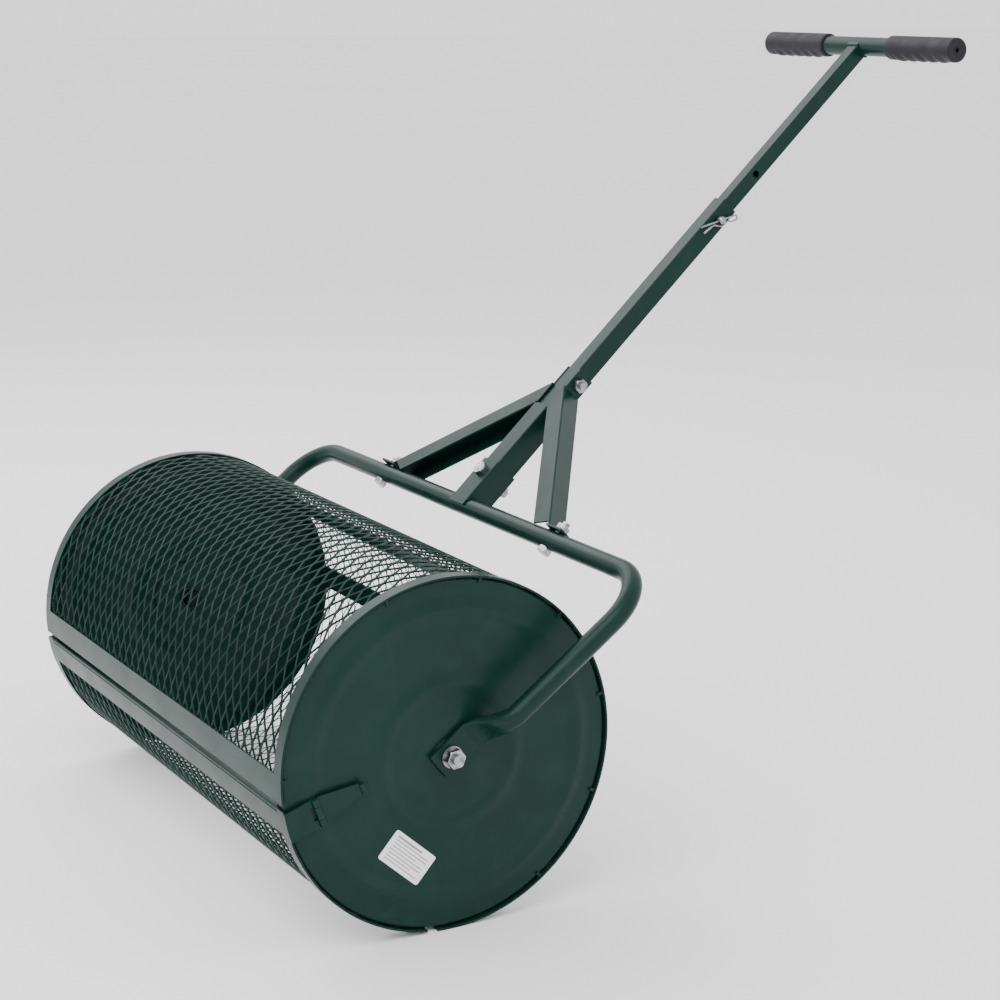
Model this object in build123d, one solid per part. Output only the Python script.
from build123d import *
import os
from math import atan2, cos, degrees, hypot, radians, sin, sqrt

# Walk-behind mesh drum roller. All sizes are in millimetres, +Z is up and the drum's axle runs along Y.
# "Near" is the -Y end. The drum is drawn about its own axle, the yoke and the handle each in a frame
# whose +X points along them, and the last function sets everything down on the floor.

os.makedirs("parts", exist_ok=True)

# Drum
drum_diameter = 322.0
drum_length = 610.0
hoop_width = 14.0
hoop_thickness = 1.8
mesh_sheet = 1.0
bar_thickness = 1.8
bar_width = 25.0
cap_sheet = 1.2
cap_recess = 3.0
cap_flange_length = 16.0
bead_height = 2.4
cap_corner = 2.0
outer_bead_radius = 132.0
inner_bead_radius = 65.0
bead_half_width = 13.0
door_lip_height = 8.0
door_lip_gap = 1.0
door_hem_radius = 1.8
door_hinge_bar_width = 15.0
door_clearance = 0.4
weld_bead_spacing = 33.4
weld_beads_per_end = 8
weld_bead_length = 3.0

# Angles round the drum, in degrees, from the handle side (0) over the top (90)
split_angle = 187.3
hinge_angle = 263.4
hinge_gap_angle = 3.7
split_gap_angle = 2.2
back_bar_angle = 2.5
seam_bar_angle = 35.0
latch_angle = 193.8
latch_tilt = 20.0

# Axle and hub
axle_radius = 5.0
axle_hole_radius = 5.1
sleeve_radius = 7.0
running_clearance = 0.05
bushing_radius = 11.0
bushing_flange_radius = 15.0
bushing_flange = 1.5
hub_plate_radius = 40.0
hub_plate_thickness = 3.0
bushing_tail = 1.8
hub_gap = 0.5
axle_play = 0.8
axle_washer_radius = 10.0
axle_washer = 2.0
axle_hex = 16.0
axle_nut_height = 8.0
axle_head_height = 6.4
axle_thread_end = 4.0

# Yoke
yoke_angle = 38.3
yoke_reach = 229.5
yoke_tube_radius = 9.5
yoke_tube_wall = 1.5
yoke_overhang = 41.0
yoke_crank = 31.0
yoke_bend_radius = 48.0
flat_width = 28.0
flat_thickness = 3.2
flat_tip = 15.0
flat_end = 24.0
flat_corner = 1.5
crank_corner = 9.2
round_start = 62.0
crank_stations = (0.0, 0.3, 0.55, 0.8, 1.0)

# Handle
tube_corner = 1.5
handle_angle = 43.2
crossbar_rise = 3.0
strut_wall = 2.0
strut_start = 10.5
strut_end = 130.0
socket_wall = 1.75
socket_start = 3.0
socket_end = 52.5
socket_tongue = 4.0
socket_bolt_at = 38.0
lower_tube_size = 20.0
lower_tube_wall = 1.5
lower_tube_start = 60.0
lower_tube_end = 422.0
upper_tube_wall = 1.5
tube_clearance = 0.5
upper_tube_start = 235.0
tee_at = 656.0
tee_radius = 10.0
tee_wall = 1.5
tee_length = 306.0
grip_radius = 12.5
grip_length = 104.0
grip_end_wall = 4.0
finger_ridges = 5
finger_ridge_spacing = 16.0
finger_ridge_depth = 1.0
finger_direction = -95.0
pin_at = 402.0
hole_spacing = 65.5
holes_below_pin = 2
holes_above_pin = 1
brace_bolt_at = 169.0

weld_size = 1.6
grip_end_hole = 2.5

# Braces: a folded channel from the crossbar to the handle on each side
brace_foot_x = 14.5
brace_foot_y = 161.0
brace_top_x = 158.3
brace_sheet = 1.8
brace_height = 25.0
brace_flange = 20.0
brace_flange_start = 9.5
brace_fold_radius = 1.5
brace_root = 4.5
brace_tab_inner_y = 160.0
brace_tab_outer_y = 187.0
brace_tab_height = 20.0
brace_bolt_y = 173.0
end_plate_height = 21.0
end_plate_start = 155.0
end_plate_end = 182.0
plate_thickness = 2.0

# Fasteners
bolt_radius = 4.0
bolt_hole_radius = 4.2
bolt_hex = 13.0
bolt_head_height = 5.3
nut_height = 6.5
thread_end = 4.0
hex_chamfer = 0.6

# Hitch pin and clip
pin_radius = 4.0
pin_head_radius = 7.0
pin_head_height = 3.0
pin_tip = 9.0
pin_gap = 0.3
pin_chamfer = 1.0
clip_wire_radius = 0.95
clip_hole_radius = 1.3
clip_offset = 5.0
clip_angle = -29.0
clip_leg = 25.0
clip_nose = 19.6
clip_nose_width = 5.2
clip_nose_radius = 2.55
clip_bend_radius = 4.0

# Door hinges and latches
knuckle_radius = 3.0
hinge_wire_radius = 1.5
hinge_knuckle_length = 14.0
hinge_knuckle_gap = 0.5
hinge_positions = (-200.0, 0.0, 200.0)
leaf_thickness = 1.6
latch_plate = 2.0
latch_width = 27.0
latch_base_length = 30.0
latch_lever_length = 44.0
latch_tip_width = 9.0
latch_knuckle_gap = 0.4
latch_lift = 0.2
latch_knuckle_half = 6.0
latch_curl_radius = 2.5
leaf_angle = 6.0

# Label
label_width = 50.0
label_height = 30.0
label_thickness = 0.2
label_x = -41.7
label_z = -87.0
label_turn = -41.7

# Derived sizes
drum_radius = drum_diameter / 2
half_length = drum_length / 2
hoop_inner = drum_radius - hoop_thickness
mesh_inner = hoop_inner - mesh_sheet
cap_radius = mesh_inner
cap_face = half_length - cap_recess
degrees_per_mm = degrees(1.0 / drum_radius)
bar_angle = bar_width * degrees_per_mm
fixed_start = hinge_angle + hinge_gap_angle / 2 - 360.0
fixed_end = split_angle - split_gap_angle / 2
door_start = split_angle + split_gap_angle / 2
door_end = hinge_angle - hinge_gap_angle / 2
door_sheet_start = door_start + 2 * door_hem_radius * degrees_per_mm
hinge_radius = drum_radius - knuckle_radius
latch_pivot_y = -half_length - latch_lift - knuckle_radius
yoke_half_width = half_length + yoke_overhang
flat_inner = cap_face + bushing_flange + hub_gap
flat_outer = flat_inner + flat_thickness
bushing_end = cap_face - cap_sheet - hub_plate_thickness - bushing_tail
arm_start_y = flat_inner + flat_thickness / 2 + yoke_crank
brace_top_y = lower_tube_size / 2 + plate_thickness
brace_length = hypot(brace_top_x - brace_foot_x, brace_foot_y - brace_top_y)
strut_size = lower_tube_size + 2 * (tube_clearance + strut_wall)
upper_tube_size = lower_tube_size - 2 * (lower_tube_wall + tube_clearance)
socket_size = strut_size + 2 * socket_wall
pin_y = -lower_tube_size / 2 - clip_offset

# Frames: the yoke and the handle each lie along their own +X
yoke_frame = Rot(0, -yoke_angle, 0)
handle_start_x = yoke_reach * cos(radians(yoke_angle)) + crossbar_rise * sin(radians(handle_angle))
handle_start_z = yoke_reach * sin(radians(yoke_angle)) - crossbar_rise * cos(radians(handle_angle))
handle_frame = Pos(handle_start_x, 0, handle_start_z) * Rot(0, -handle_angle, 0)
tee_x = handle_start_x + tee_at * cos(radians(handle_angle))
highest_x = tee_x + grip_radius
middle_x = (highest_x - drum_radius) / 2
to_floor = Pos(-middle_x, 0, drum_radius)


def drum_band(inner, outer, y_start, y_end, start, end):
    """A piece of a ring about the axle, between two angles and two stations along Y."""
    outer_arc = CenterArc((0, 0), outer, start, end - start)
    inner_arc = CenterArc((0, 0), inner, start, end - start)
    sides = [Line(outer_arc @ 0, inner_arc @ 0), Line(outer_arc @ 1, inner_arc @ 1)]
    face = Plane.XZ * make_face([outer_arc, inner_arc] + sides)
    return Pos(0, y_end, 0) * extrude(face, y_end - y_start)


def box_between(x0, x1, y0, y1, z0, z1):
    return Pos((x0 + x1) / 2, (y0 + y1) / 2, (z0 + z1) / 2) * Box(x1 - x0, y1 - y0, z1 - z0)


def rod(start, end, radius):
    """A round bar between two points."""
    axis = Vector(*end) - Vector(*start)
    return Solid.extrude(Plane(origin=start, z_dir=axis) * Circle(radius).face(), axis)


def ring(start, end, outer, inner):
    return rod(start, end, outer) - rod(start, end, inner)


def hex_prism(start, end, across_flats):
    """A hexagon with the corners of both faces turned down, as on a nut."""
    axis = Vector(*end) - Vector(*start)
    profile = RegularPolygon(across_flats / 2, 6, major_radius=False)
    prism = Solid.extrude(Plane(origin=start, z_dir=axis) * profile.face(), axis)
    blank = rod(start, end, across_flats / sqrt(3))
    return prism & chamfer(blank.edges().filter_by(GeomType.CIRCLE), hex_chamfer)


def square_tube(start, end, size, wall):
    tube = box_between(start, end, -size / 2, size / 2, -size / 2, size / 2)
    tube = fillet(tube.edges().filter_by(Axis.X), min(tube_corner, wall))
    inner = size / 2 - wall
    return tube - box_between(start - 1, end + 1, -inner, inner, -inner, inner)


def far_copy(shape):
    """The same piece at the +Y end."""
    return mirror(shape, about=Plane.XZ)


def both_ends(shape):
    return [shape, far_copy(shape)]


# ---- Drum shell ----

def bead_curve(first, middle, last, y):
    """Softly raised ring of a pressing, level with the disc at both sides."""
    points = [(first, y), (middle, y - bead_height), (last, y)]
    return Spline(*points, tangents=[(1, 0), (1, 0)])


def end_cap():
    """Pressed steel disc with two raised rings and a flange turned into the drum (near end)."""
    edges = []
    face_y = -cap_face
    back_y = face_y + cap_sheet
    station = bushing_radius
    for bead in (inner_bead_radius, outer_bead_radius):
        first, last = bead - bead_half_width, bead + bead_half_width
        edges.append(Line((station, face_y), (first, face_y)))
        edges.append(bead_curve(first, bead, last, face_y))
        edges.append(Line((station, back_y), (first, back_y)))
        edges.append(bead_curve(first, bead, last, back_y))
        station = last
    flange_y = face_y + cap_flange_length
    flange_inner = cap_radius - cap_sheet
    edges.append(Line((station, face_y), (cap_radius, face_y)))
    edges.append(Line((cap_radius, face_y), (cap_radius, flange_y)))
    edges.append(Line((cap_radius, flange_y), (flange_inner, flange_y)))
    edges.append(Line((flange_inner, flange_y), (flange_inner, back_y)))
    edges.append(Line((flange_inner, back_y), (station, back_y)))
    edges.append(Line((bushing_radius, face_y), (bushing_radius, back_y)))
    cap = revolve(make_face(edges), Axis.Y)
    front_edges = cap.edges().filter_by(GeomType.CIRCLE).group_by(Axis.Y)[0]
    return fillet(front_edges.sort_by(SortBy.RADIUS)[-1], cap_corner)


def hub_plate():
    """Stiffening disc behind the middle of the cap."""
    back = -cap_face + cap_sheet
    return ring((0, back, 0), (0, back + hub_plate_thickness, 0), hub_plate_radius, bushing_radius)


def hub_bushing():
    """Flanged plain bearing pressed into the cap and its stiffening disc."""
    body = rod((0, -cap_face, 0), (0, -bushing_end, 0), bushing_radius)
    flange = rod((0, -cap_face - bushing_flange, 0), (0, -cap_face, 0), bushing_flange_radius)
    hole = rod((0, -flat_inner, 0), (0, -bushing_end + 1, 0), sleeve_radius + running_clearance)
    return body + flange - hole


def end_hoop():
    return drum_band(hoop_inner, drum_radius, -half_length, -half_length + hoop_width, fixed_start, fixed_end)


def mesh_shell():
    length = half_length - cap_recess
    return drum_band(mesh_inner, hoop_inner, -length, length, fixed_start, fixed_end)


def drum_bar(start, end):
    """Flat bar along the drum, lying on the mesh between the end hoops."""
    length = half_length - hoop_width
    return drum_band(hoop_inner, drum_radius, -length, length, start, end)


def inner_bar(middle):
    """Stiffening strip under the mesh, from cap to cap."""
    length = cap_face - cap_flange_length
    half = bar_angle / 2
    return drum_band(mesh_inner - bar_thickness, mesh_inner, -length, length, middle - half, middle + half)


def cap_weld_beads():
    """Short welds in the groove between the cap and its end hoop."""
    half = weld_bead_length * degrees_per_mm / 2
    beads = []
    for index in range(weld_beads_per_end):
        angle = split_angle - weld_bead_spacing * (index + 0.25)
        top = -cap_face - cap_recess * 2 / 3
        first, last = angle - half, angle + half
        beads.append(drum_band(mesh_inner - 2 * cap_corner, hoop_inner, top, -cap_face, first, last))
    return beads


def label():
    plate = Box(label_width, label_thickness, label_height)
    return Pos(label_x, -cap_face - label_thickness / 2, label_z) * Rot(0, -label_turn, 0) * plate


# ---- Door ----

def door_shell():
    length = half_length - cap_recess
    inner = mesh_inner + door_clearance
    return drum_band(inner, hoop_inner, -length, length, door_sheet_start, door_end)


def door_hoop():
    return drum_band(hoop_inner, drum_radius, -half_length, -half_length + hoop_width, door_start, door_end)


def door_edge_lip():
    """Rounded hem along the door's free edge, with a lip folded into the drum under it."""
    hem_angle = radians(door_start + door_hem_radius * degrees_per_mm)
    reach = drum_radius - door_hem_radius
    x, z = reach * cos(hem_angle), reach * sin(hem_angle)
    hem_length = half_length - hoop_width
    hem = rod((x, -hem_length, z), (x, hem_length, z), door_hem_radius)
    hem -= rod((0, -half_length, 0), (0, half_length, 0), mesh_inner + door_clearance)
    length = cap_face - cap_flange_length - door_lip_gap
    first = degrees(hem_angle) - bar_thickness / 2 * degrees_per_mm
    last = degrees(hem_angle) + bar_thickness / 2 * degrees_per_mm
    return hem + drum_band(reach - door_lip_height, reach, -length, length, first, last)


def hinge_point(y):
    angle = radians(hinge_angle)
    return (hinge_radius * cos(angle), y, hinge_radius * sin(angle))


def hinge_knuckle(y_start, y_end, leaf_inner, leaf_side, bore):
    """One rolled knuckle with the leaf that runs under the mesh on one side of it."""
    barrel = rod(hinge_point(y_start), hinge_point(y_end), knuckle_radius)
    first, last = sorted((hinge_angle, hinge_angle + leaf_side * leaf_angle))
    leaf = drum_band(leaf_inner - leaf_thickness, leaf_inner, y_start, y_end, first, last)
    hole = rod(hinge_point(y_start - 1), hinge_point(y_end + 1), bore)
    return barrel + leaf - hole


def door_hinges():
    """Fixed knuckles, door knuckles and pins of the three door hinges."""
    fixed, moving, pins = [], [], []
    step = hinge_knuckle_length + hinge_knuckle_gap
    for middle in hinge_positions:
        for side in (-1, 1):
            start = middle + side * step - hinge_knuckle_length / 2
            end = start + hinge_knuckle_length
            fixed.append(hinge_knuckle(start, end, mesh_inner, 1, hinge_wire_radius))
        start = middle - hinge_knuckle_length / 2
        bore = hinge_wire_radius + running_clearance
        end = start + hinge_knuckle_length
        moving.append(hinge_knuckle(start, end, mesh_inner + door_clearance, -1, bore))
        reach = step + hinge_knuckle_length / 2
        pins.append(rod(hinge_point(middle - reach), hinge_point(middle + reach), hinge_wire_radius))
    return fixed, moving, pins


# ---- Latch, drawn with +X pointing inward over the cap and +Z across it ----

def latch_location():
    reach = drum_radius - hoop_thickness / 2
    angle = radians(latch_angle)
    return Pos(reach * cos(angle), 0, reach * sin(angle)) * Rot(0, -latch_tilt, 0)


def latch_rod(half, radius):
    """A round bar on the latch's pivot, half its length to each side."""
    pivot = (latch_base_length, latch_pivot_y)
    return rod((*pivot, -half), (*pivot, half), radius)


def latch_base():
    """Plate welded on the end of the door's hoop, carrying the two outer knuckles."""
    outer_y = -half_length - latch_plate
    half = latch_width / 2
    plate = box_between(-hoop_width, latch_base_length - knuckle_radius, outer_y, -half_length, -half, half)
    ear_start = latch_base_length - 2 * knuckle_radius
    ears = box_between(ear_start, latch_base_length, outer_y, -half_length, -half, half)
    gap = latch_knuckle_half + latch_knuckle_gap
    notch = box_between(ear_start, latch_base_length + half, outer_y - half, -half_length, -gap, gap)
    knuckles = latch_rod(half, knuckle_radius) + ears - notch - latch_rod(half + 1, hinge_wire_radius)
    rim = rod((0, -half_length - half, 0), (0, -half_length + 1, 0), drum_radius)
    return rim & (latch_location() * (plate - notch + knuckles))


def latch_lever():
    """Tapered lever with the middle knuckle and a rolled tip."""
    inner_y = -half_length - latch_lift
    outer_y = inner_y - latch_plate
    start = latch_base_length + knuckle_radius + latch_knuckle_gap
    end = latch_base_length + latch_lever_length
    half, tip = latch_width / 2, latch_tip_width / 2
    outline = Polyline((start, -half), (end, -tip), (end, tip), (start, half), close=True)
    blade = Pos(0, inner_y, 0) * extrude(Plane.XZ * make_face(outline), latch_plate)
    tongue = box_between(latch_base_length, start, outer_y, inner_y, -latch_knuckle_half, latch_knuckle_half)
    curl_y = inner_y - latch_curl_radius
    curl = rod((end, curl_y, -tip), (end, curl_y, tip), latch_curl_radius)
    lever = blade + tongue + curl + latch_rod(latch_knuckle_half, knuckle_radius)
    return latch_location() * (lever - latch_rod(half, hinge_wire_radius + running_clearance))


def latch_pin():
    return latch_location() * latch_rod(latch_width / 2, hinge_wire_radius)


# ---- Axle ----

def axle_sleeve():
    """Spacer tube that the drum's bushing turns on."""
    return ring((0, -flat_inner, 0), (0, -bushing_end + axle_play, 0), sleeve_radius, axle_hole_radius)


def axle_washers():
    inner = -bushing_end + axle_play
    outer = -flat_outer
    return [
        ring((0, inner, 0), (0, inner + axle_washer, 0), axle_washer_radius, axle_radius),
        ring((0, outer - axle_washer, 0), (0, outer, 0), axle_washer_radius, axle_radius),
    ]


def axle_bolt():
    head_face = -bushing_end + axle_play + axle_washer
    tip = -flat_outer - axle_washer - axle_nut_height - axle_thread_end
    head = hex_prism((0, head_face, 0), (0, head_face + axle_head_height, 0), axle_hex)
    return head + rod((0, tip, 0), (0, head_face, 0), axle_radius)


def axle_nut():
    start = -flat_outer - axle_washer
    end = start - axle_nut_height
    nut = hex_prism((0, end, 0), (0, start, 0), axle_hex)
    return nut - rod((0, end - 1, 0), (0, start + 1, 0), axle_radius)


# ---- Yoke, drawn with +X pointing from the axle to the crossbar ----

def yoke_eye():
    """Flattened end of the near arm and the cranked stretch where the tube goes from flat to round."""
    flat_y = -(flat_inner + flat_thickness / 2)
    run = round_start - flat_end
    sections = []
    for share in crank_stations:
        ease = share * share * (3 - 2 * share)
        slope = atan2(6 * share * (1 - share) * yoke_crank, run)
        width = flat_width + (2 * yoke_tube_radius - flat_width) * ease
        thickness = flat_thickness + (2 * yoke_tube_radius - flat_thickness) * ease
        corner = flat_corner + (crank_corner - flat_corner) * ease
        origin = (flat_end + run * share, flat_y - yoke_crank * ease, 0)
        plane = Plane(origin=origin, x_dir=(0, 0, 1), z_dir=(cos(slope), -sin(slope), 0))
        sections.append(plane * RectangleRounded(width, thickness, corner))
    flat = box_between(-flat_tip, flat_end, -flat_outer, -flat_inner, -flat_width / 2, flat_width / 2)
    hole = rod((0, -flat_outer - 1, 0), (0, -flat_inner + 1, 0), axle_hole_radius)
    return flat + loft(sections) - hole


def yoke_tube():
    """One bent tube: two arms and a crossbar, each arm cranked in to a flattened eye at the axle."""
    corners = [(round_start, -arm_start_y), (yoke_reach, -yoke_half_width)]
    corners += [(yoke_reach, yoke_half_width), (round_start, arm_start_y)]
    path = FilletPolyline(*corners, radius=yoke_bend_radius)
    start = Plane(origin=path @ 0, z_dir=path % 0)
    tube = sweep(start * Circle(yoke_tube_radius), path=path)
    tube -= sweep(start * Circle(yoke_tube_radius - yoke_tube_wall), path=path)
    tube = yoke_frame * (tube + both_ends(yoke_eye()))
    reach = 2 * yoke_tube_radius
    middle = (-brace_bolt_y, crossbar_rise)
    hole = rod((-reach, *middle), (reach, *middle), bolt_hole_radius)
    return tube - [handle_frame * drilled for drilled in both_ends(hole)]


# ---- Handle, drawn with +X pointing up the handle and +Z out of its upper face ----

def cross_hole(x, radius):
    """A drill along Y right through the handle."""
    return rod((x, -strut_size, 0), (x, strut_size, 0), radius)


def crossbar(radius):
    return rod((0, -strut_size, crossbar_rise), (0, strut_size, crossbar_rise), radius)


def socket_drill():
    return rod((socket_bolt_at, 0, -strut_size), (socket_bolt_at, 0, strut_size), bolt_hole_radius)


def handle_socket():
    """Square sleeve welded to the crossbar, with a tongue over the top of it."""
    top = crossbar_rise + yoke_tube_radius
    half = socket_size / 2
    sleeve = square_tube(socket_start, socket_end, socket_size, socket_wall)
    tongue = box_between(-socket_tongue, socket_start, -half, half, top, half)
    return sleeve - crossbar(yoke_tube_radius) + tongue - socket_drill()


def handle_strut():
    return square_tube(strut_start, strut_end, strut_size, strut_wall) - socket_drill()


def lower_handle_tube():
    tube = square_tube(lower_tube_start, lower_tube_end, lower_tube_size, lower_tube_wall)
    tube -= cross_hole(brace_bolt_at, bolt_hole_radius)
    return tube - cross_hole(pin_at, pin_radius + running_clearance)


def upper_handle_tube():
    """Sliding tube with a row of holes for the hitch pin, coped to the cross tube at its top."""
    tube = square_tube(upper_tube_start, tee_at, upper_tube_size, upper_tube_wall)
    tube -= rod((tee_at, -strut_size, 0), (tee_at, strut_size, 0), tee_radius)
    for step in range(-holes_below_pin, holes_above_pin + 1):
        tube -= cross_hole(pin_at + step * hole_spacing, pin_radius + running_clearance)
    return tube


def tee_tube():
    half = tee_length / 2
    return ring((tee_at, -half, 0), (tee_at, half, 0), tee_radius, tee_radius - tee_wall)


def grip():
    """Sleeve over the near end of the cross tube, closed at its end, with finger ridges underneath."""
    end = -tee_length / 2 - grip_end_wall
    body = rod((tee_at, end, 0), (tee_at, end + grip_length, 0), grip_radius)
    middle = end + grip_length / 2
    below = radians(finger_direction - handle_angle)
    ridge_x = tee_at + finger_ridge_depth * cos(below)
    ridge_z = finger_ridge_depth * sin(below)
    for index in range(finger_ridges):
        y = middle + (index - (finger_ridges - 1) / 2) * finger_ridge_spacing
        body += Pos(ridge_x, y, ridge_z) * Sphere(grip_radius)
    bore = rod((tee_at, -tee_length / 2, 0), (tee_at, 0, 0), tee_radius)
    return body - bore - rod((tee_at, end - 1, 0), (tee_at, 0, 0), grip_end_hole)


def weld_beads():
    """Beads round the socket's saddle, the top of the strut and the foot of the cross tube."""
    side = socket_size / 2
    ends = (0, -side - weld_size, crossbar_rise), (0, -side, crossbar_rise)
    saddle = ring(*ends, yoke_tube_radius + weld_size, yoke_tube_radius)
    saddle &= box_between(socket_start, socket_end, -2 * side, 0, -side, side)
    strut_bead_size = strut_size - strut_wall
    strut_bead_wall = (strut_bead_size - lower_tube_size) / 2
    strut_bead = square_tube(strut_end, strut_end + weld_size, strut_bead_size, strut_bead_wall)
    tee_ends = (tee_at, -strut_size, 0), (tee_at, strut_size, 0)
    tee_bead = square_tube(upper_tube_start, tee_at, upper_tube_size + 2 * weld_size, weld_size)
    tee_bead &= ring(*tee_ends, tee_radius + weld_size, tee_radius)
    return both_ends(saddle) + [strut_bead, tee_bead]


# ---- Braces ----

def brace():
    """Folded channel with its web outward, a foot tab on the crossbar and a plate on the handle."""
    run = Vector(brace_top_x - brace_foot_x, brace_foot_y - brace_top_y, 0)
    along = Plane(origin=(brace_foot_x, -brace_foot_y, 0), x_dir=run, z_dir=(0, 0, 1)).location
    half = brace_height / 2
    channel = box_between(-brace_root, brace_length, 0, brace_sheet, -half, half)
    corners = [(0, 0), (brace_flange_start, brace_flange), (brace_length, brace_flange), (brace_length, 0)]
    outline = make_face(Polyline(*corners, close=True))
    for bottom in (-half, half - brace_sheet):
        channel += Pos(0, 0, bottom) * extrude(outline, brace_sheet)
    folds = channel.edges().filter_by(Axis.X).group_by(Axis.Y)[0]
    channel = along * fillet(folds, brace_fold_radius)
    for end, size in ((end_plate_end, lower_tube_size), (strut_end + weld_size, strut_size)):
        channel -= box_between(0, end, -size / 2, brace_foot_y, -brace_height, brace_height)
    tab_start = yoke_tube_radius
    tab = box_between(
        tab_start,
        tab_start + plate_thickness,
        -brace_tab_outer_y,
        -brace_tab_inner_y,
        crossbar_rise - brace_tab_height / 2,
        crossbar_rise + brace_tab_height / 2,
    )
    bolt_line = (-brace_bolt_y, crossbar_rise)
    tab -= rod((0, *bolt_line), (brace_foot_x, *bolt_line), bolt_hole_radius)
    plate_half = end_plate_height / 2
    plate = box_between(
        end_plate_start, end_plate_end, -brace_top_y, -brace_top_y + plate_thickness, -plate_half, plate_half
    )
    return channel + tab + plate - cross_hole(brace_bolt_at, bolt_hole_radius)


# ---- Fasteners ----

def hex_bolt(under_head, toward, grip_length):
    """Bolt from the seat of its head, along a direction, past whatever it clamps."""
    seat, way = Vector(*under_head), Vector(*toward)
    tip = seat + way * (grip_length + nut_height + thread_end)
    return hex_prism(seat - way * bolt_head_height, seat, bolt_hex) + rod(seat, tip, bolt_radius)


def hex_nut(under_head, toward, grip_length):
    seat = Vector(*under_head) + Vector(*toward) * grip_length
    end = seat + Vector(*toward) * nut_height
    return hex_prism(seat, end, bolt_hex) - rod(seat, end, bolt_radius)


# Each bolt is its seat, its direction and what it clamps
brace_foot_grip = 2 * yoke_tube_radius + plate_thickness
brace_foot_bolt = ((-yoke_tube_radius, -brace_bolt_y, crossbar_rise), (1, 0, 0), brace_foot_grip)
socket_bolt = ((socket_bolt_at, 0, socket_size / 2), (0, 0, -1), socket_size)
brace_top_bolt = ((brace_bolt_at, brace_top_y, 0), (0, -1, 0), 2 * brace_top_y)


def clip_plane():
    """Plane of the clip, with its straight leg along X through the hitch pin."""
    turn = radians(clip_angle)
    return Plane(origin=(pin_at, pin_y, 0), x_dir=(cos(turn), 0, sin(turn)), z_dir=(0, 1, 0)).location


def hitch_pin():
    """Pin through both handle tubes, with a flat head and a cross hole for the clip."""
    head_start = lower_tube_size / 2 + pin_gap
    tip = -lower_tube_size / 2 - pin_tip
    shank = rod((pin_at, tip, 0), (pin_at, head_start, 0), pin_radius)
    shank = chamfer(shank.edges().filter_by(GeomType.CIRCLE).sort_by(Axis.Y)[0], pin_chamfer)
    head = rod((pin_at, head_start, 0), (pin_at, head_start + pin_head_height, 0), pin_head_radius)
    hole = clip_plane() * rod((-pin_head_radius, 0, 0), (pin_head_radius, 0, 0), clip_hole_radius)
    return shank + head - hole


def r_clip():
    """Spring wire clip: a straight leg through the pin and a wavy leg that grips round it."""
    wave = [(12.5, 5.2), (7.0, 3.2), (0.0, 6.6), (-10.0, 2.2), (-24.0, 7.0)]
    corners = [(-clip_leg, 0), (clip_nose, 0), (clip_nose, clip_nose_width)] + wave
    radii = [clip_nose_radius, clip_nose_radius] + [clip_bend_radius] * (len(wave) - 1)
    path = FilletPolyline(*corners, radius=radii)
    start = Plane(origin=path @ 0, z_dir=path % 0)
    return clip_plane() * sweep(start * Circle(clip_wire_radius), path=path)


# ---- Assembly ----

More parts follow.
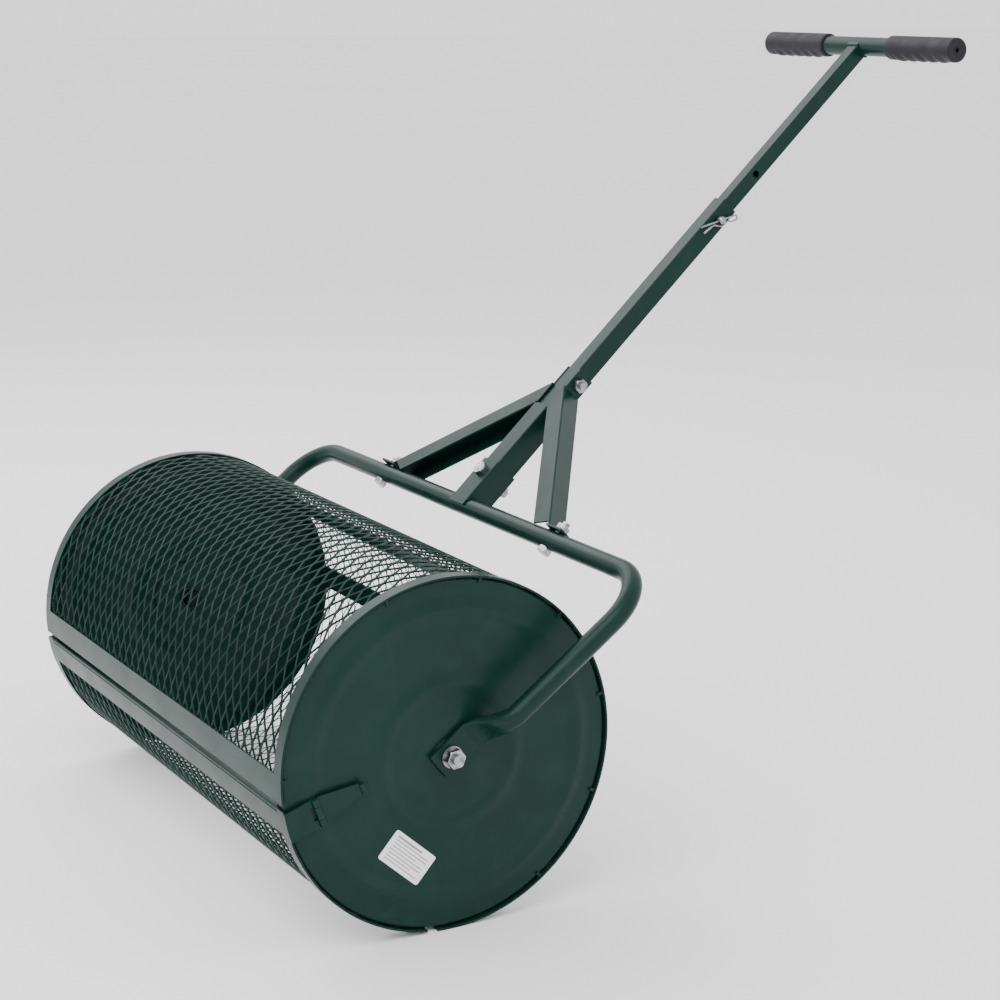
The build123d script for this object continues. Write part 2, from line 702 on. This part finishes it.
def drum_nodes():
    fixed_knuckles, door_knuckles, hinge_pins = door_hinges()
    half_bar = door_hinge_bar_width * degrees_per_mm
    return {
        "end_cap_near": end_cap(),
        "end_cap_far": far_copy(end_cap()),
        "end_hoop_near": end_hoop(),
        "end_hoop_far": far_copy(end_hoop()),
        "mesh_shell": mesh_shell(),
        "split_bar": drum_bar(fixed_end - bar_angle, fixed_end),
        "hinge_bar": drum_bar(fixed_start, fixed_start + bar_angle),
        "back_bar": inner_bar(back_bar_angle),
        "seam_bar": inner_bar(seam_bar_angle),
        "hub_plates": both_ends(hub_plate()),
        "hub_bushings": both_ends(hub_bushing()),
        "cap_welds": cap_weld_beads() + [far_copy(bead) for bead in cap_weld_beads()],
        "label": label(),
        "hinge_leaves_fixed": fixed_knuckles,
        "hinge_pins": hinge_pins,
        "door_shell": door_shell(),
        "door_edge_bar": drum_bar(door_sheet_start, door_start + bar_angle),
        "door_edge_lip": door_edge_lip(),
        "door_hinge_bar": drum_bar(door_end - half_bar, door_end),
        "door_hoop_near": door_hoop(),
        "door_hoop_far": far_copy(door_hoop()),
        "hinge_leaves_door": door_knuckles,
        "latch_base_near": latch_base(),
        "latch_base_far": far_copy(latch_base()),
        "latch_pins": both_ends(latch_pin()),
        "latch_lever_near": latch_lever(),
        "latch_lever_far": far_copy(latch_lever()),
    }


def yoke_nodes():
    return {
        "yoke_tube": yoke_tube(),
        "axle_sleeves": both_ends(axle_sleeve()),
        "axle_washers": axle_washers() + [far_copy(washer) for washer in axle_washers()],
        "axle_bolts": [yoke_frame * bolt for bolt in both_ends(axle_bolt())],
        "axle_nuts": [yoke_frame * nut for nut in both_ends(axle_nut())],
    }


def handle_nodes():
    return {
        "handle_socket": handle_socket(),
        "handle_strut": handle_strut(),
        "lower_handle_tube": lower_handle_tube(),
        "upper_handle_tube": upper_handle_tube(),
        "tee_tube": tee_tube(),
        "grip_near": grip(),
        "grip_far": far_copy(grip()),
        "weld_beads": weld_beads(),
        "brace_near": brace(),
        "brace_far": far_copy(brace()),
        "brace_foot_bolts": both_ends(hex_bolt(*brace_foot_bolt)),
        "brace_foot_nuts": both_ends(hex_nut(*brace_foot_bolt)),
        "socket_bolt": hex_bolt(*socket_bolt),
        "socket_nut": hex_nut(*socket_bolt),
        "brace_top_bolt": hex_bolt(*brace_top_bolt),
        "brace_top_nut": hex_nut(*brace_top_bolt),
        "hitch_pin": hitch_pin(),
        "r_clip": r_clip(),
    }


def write(nodes, frame):
    """Set each node down in its place on the floor and write it out."""
    for name, shape in nodes.items():
        solids = shape if isinstance(shape, list) else shape.solids()
        placed = [frame * solid for solid in solids]
        export_step(placed[0] if len(placed) == 1 else Compound(placed), f"parts/{name}.step")


write(drum_nodes(), to_floor)
write(yoke_nodes(), to_floor)
write(handle_nodes(), to_floor * handle_frame)
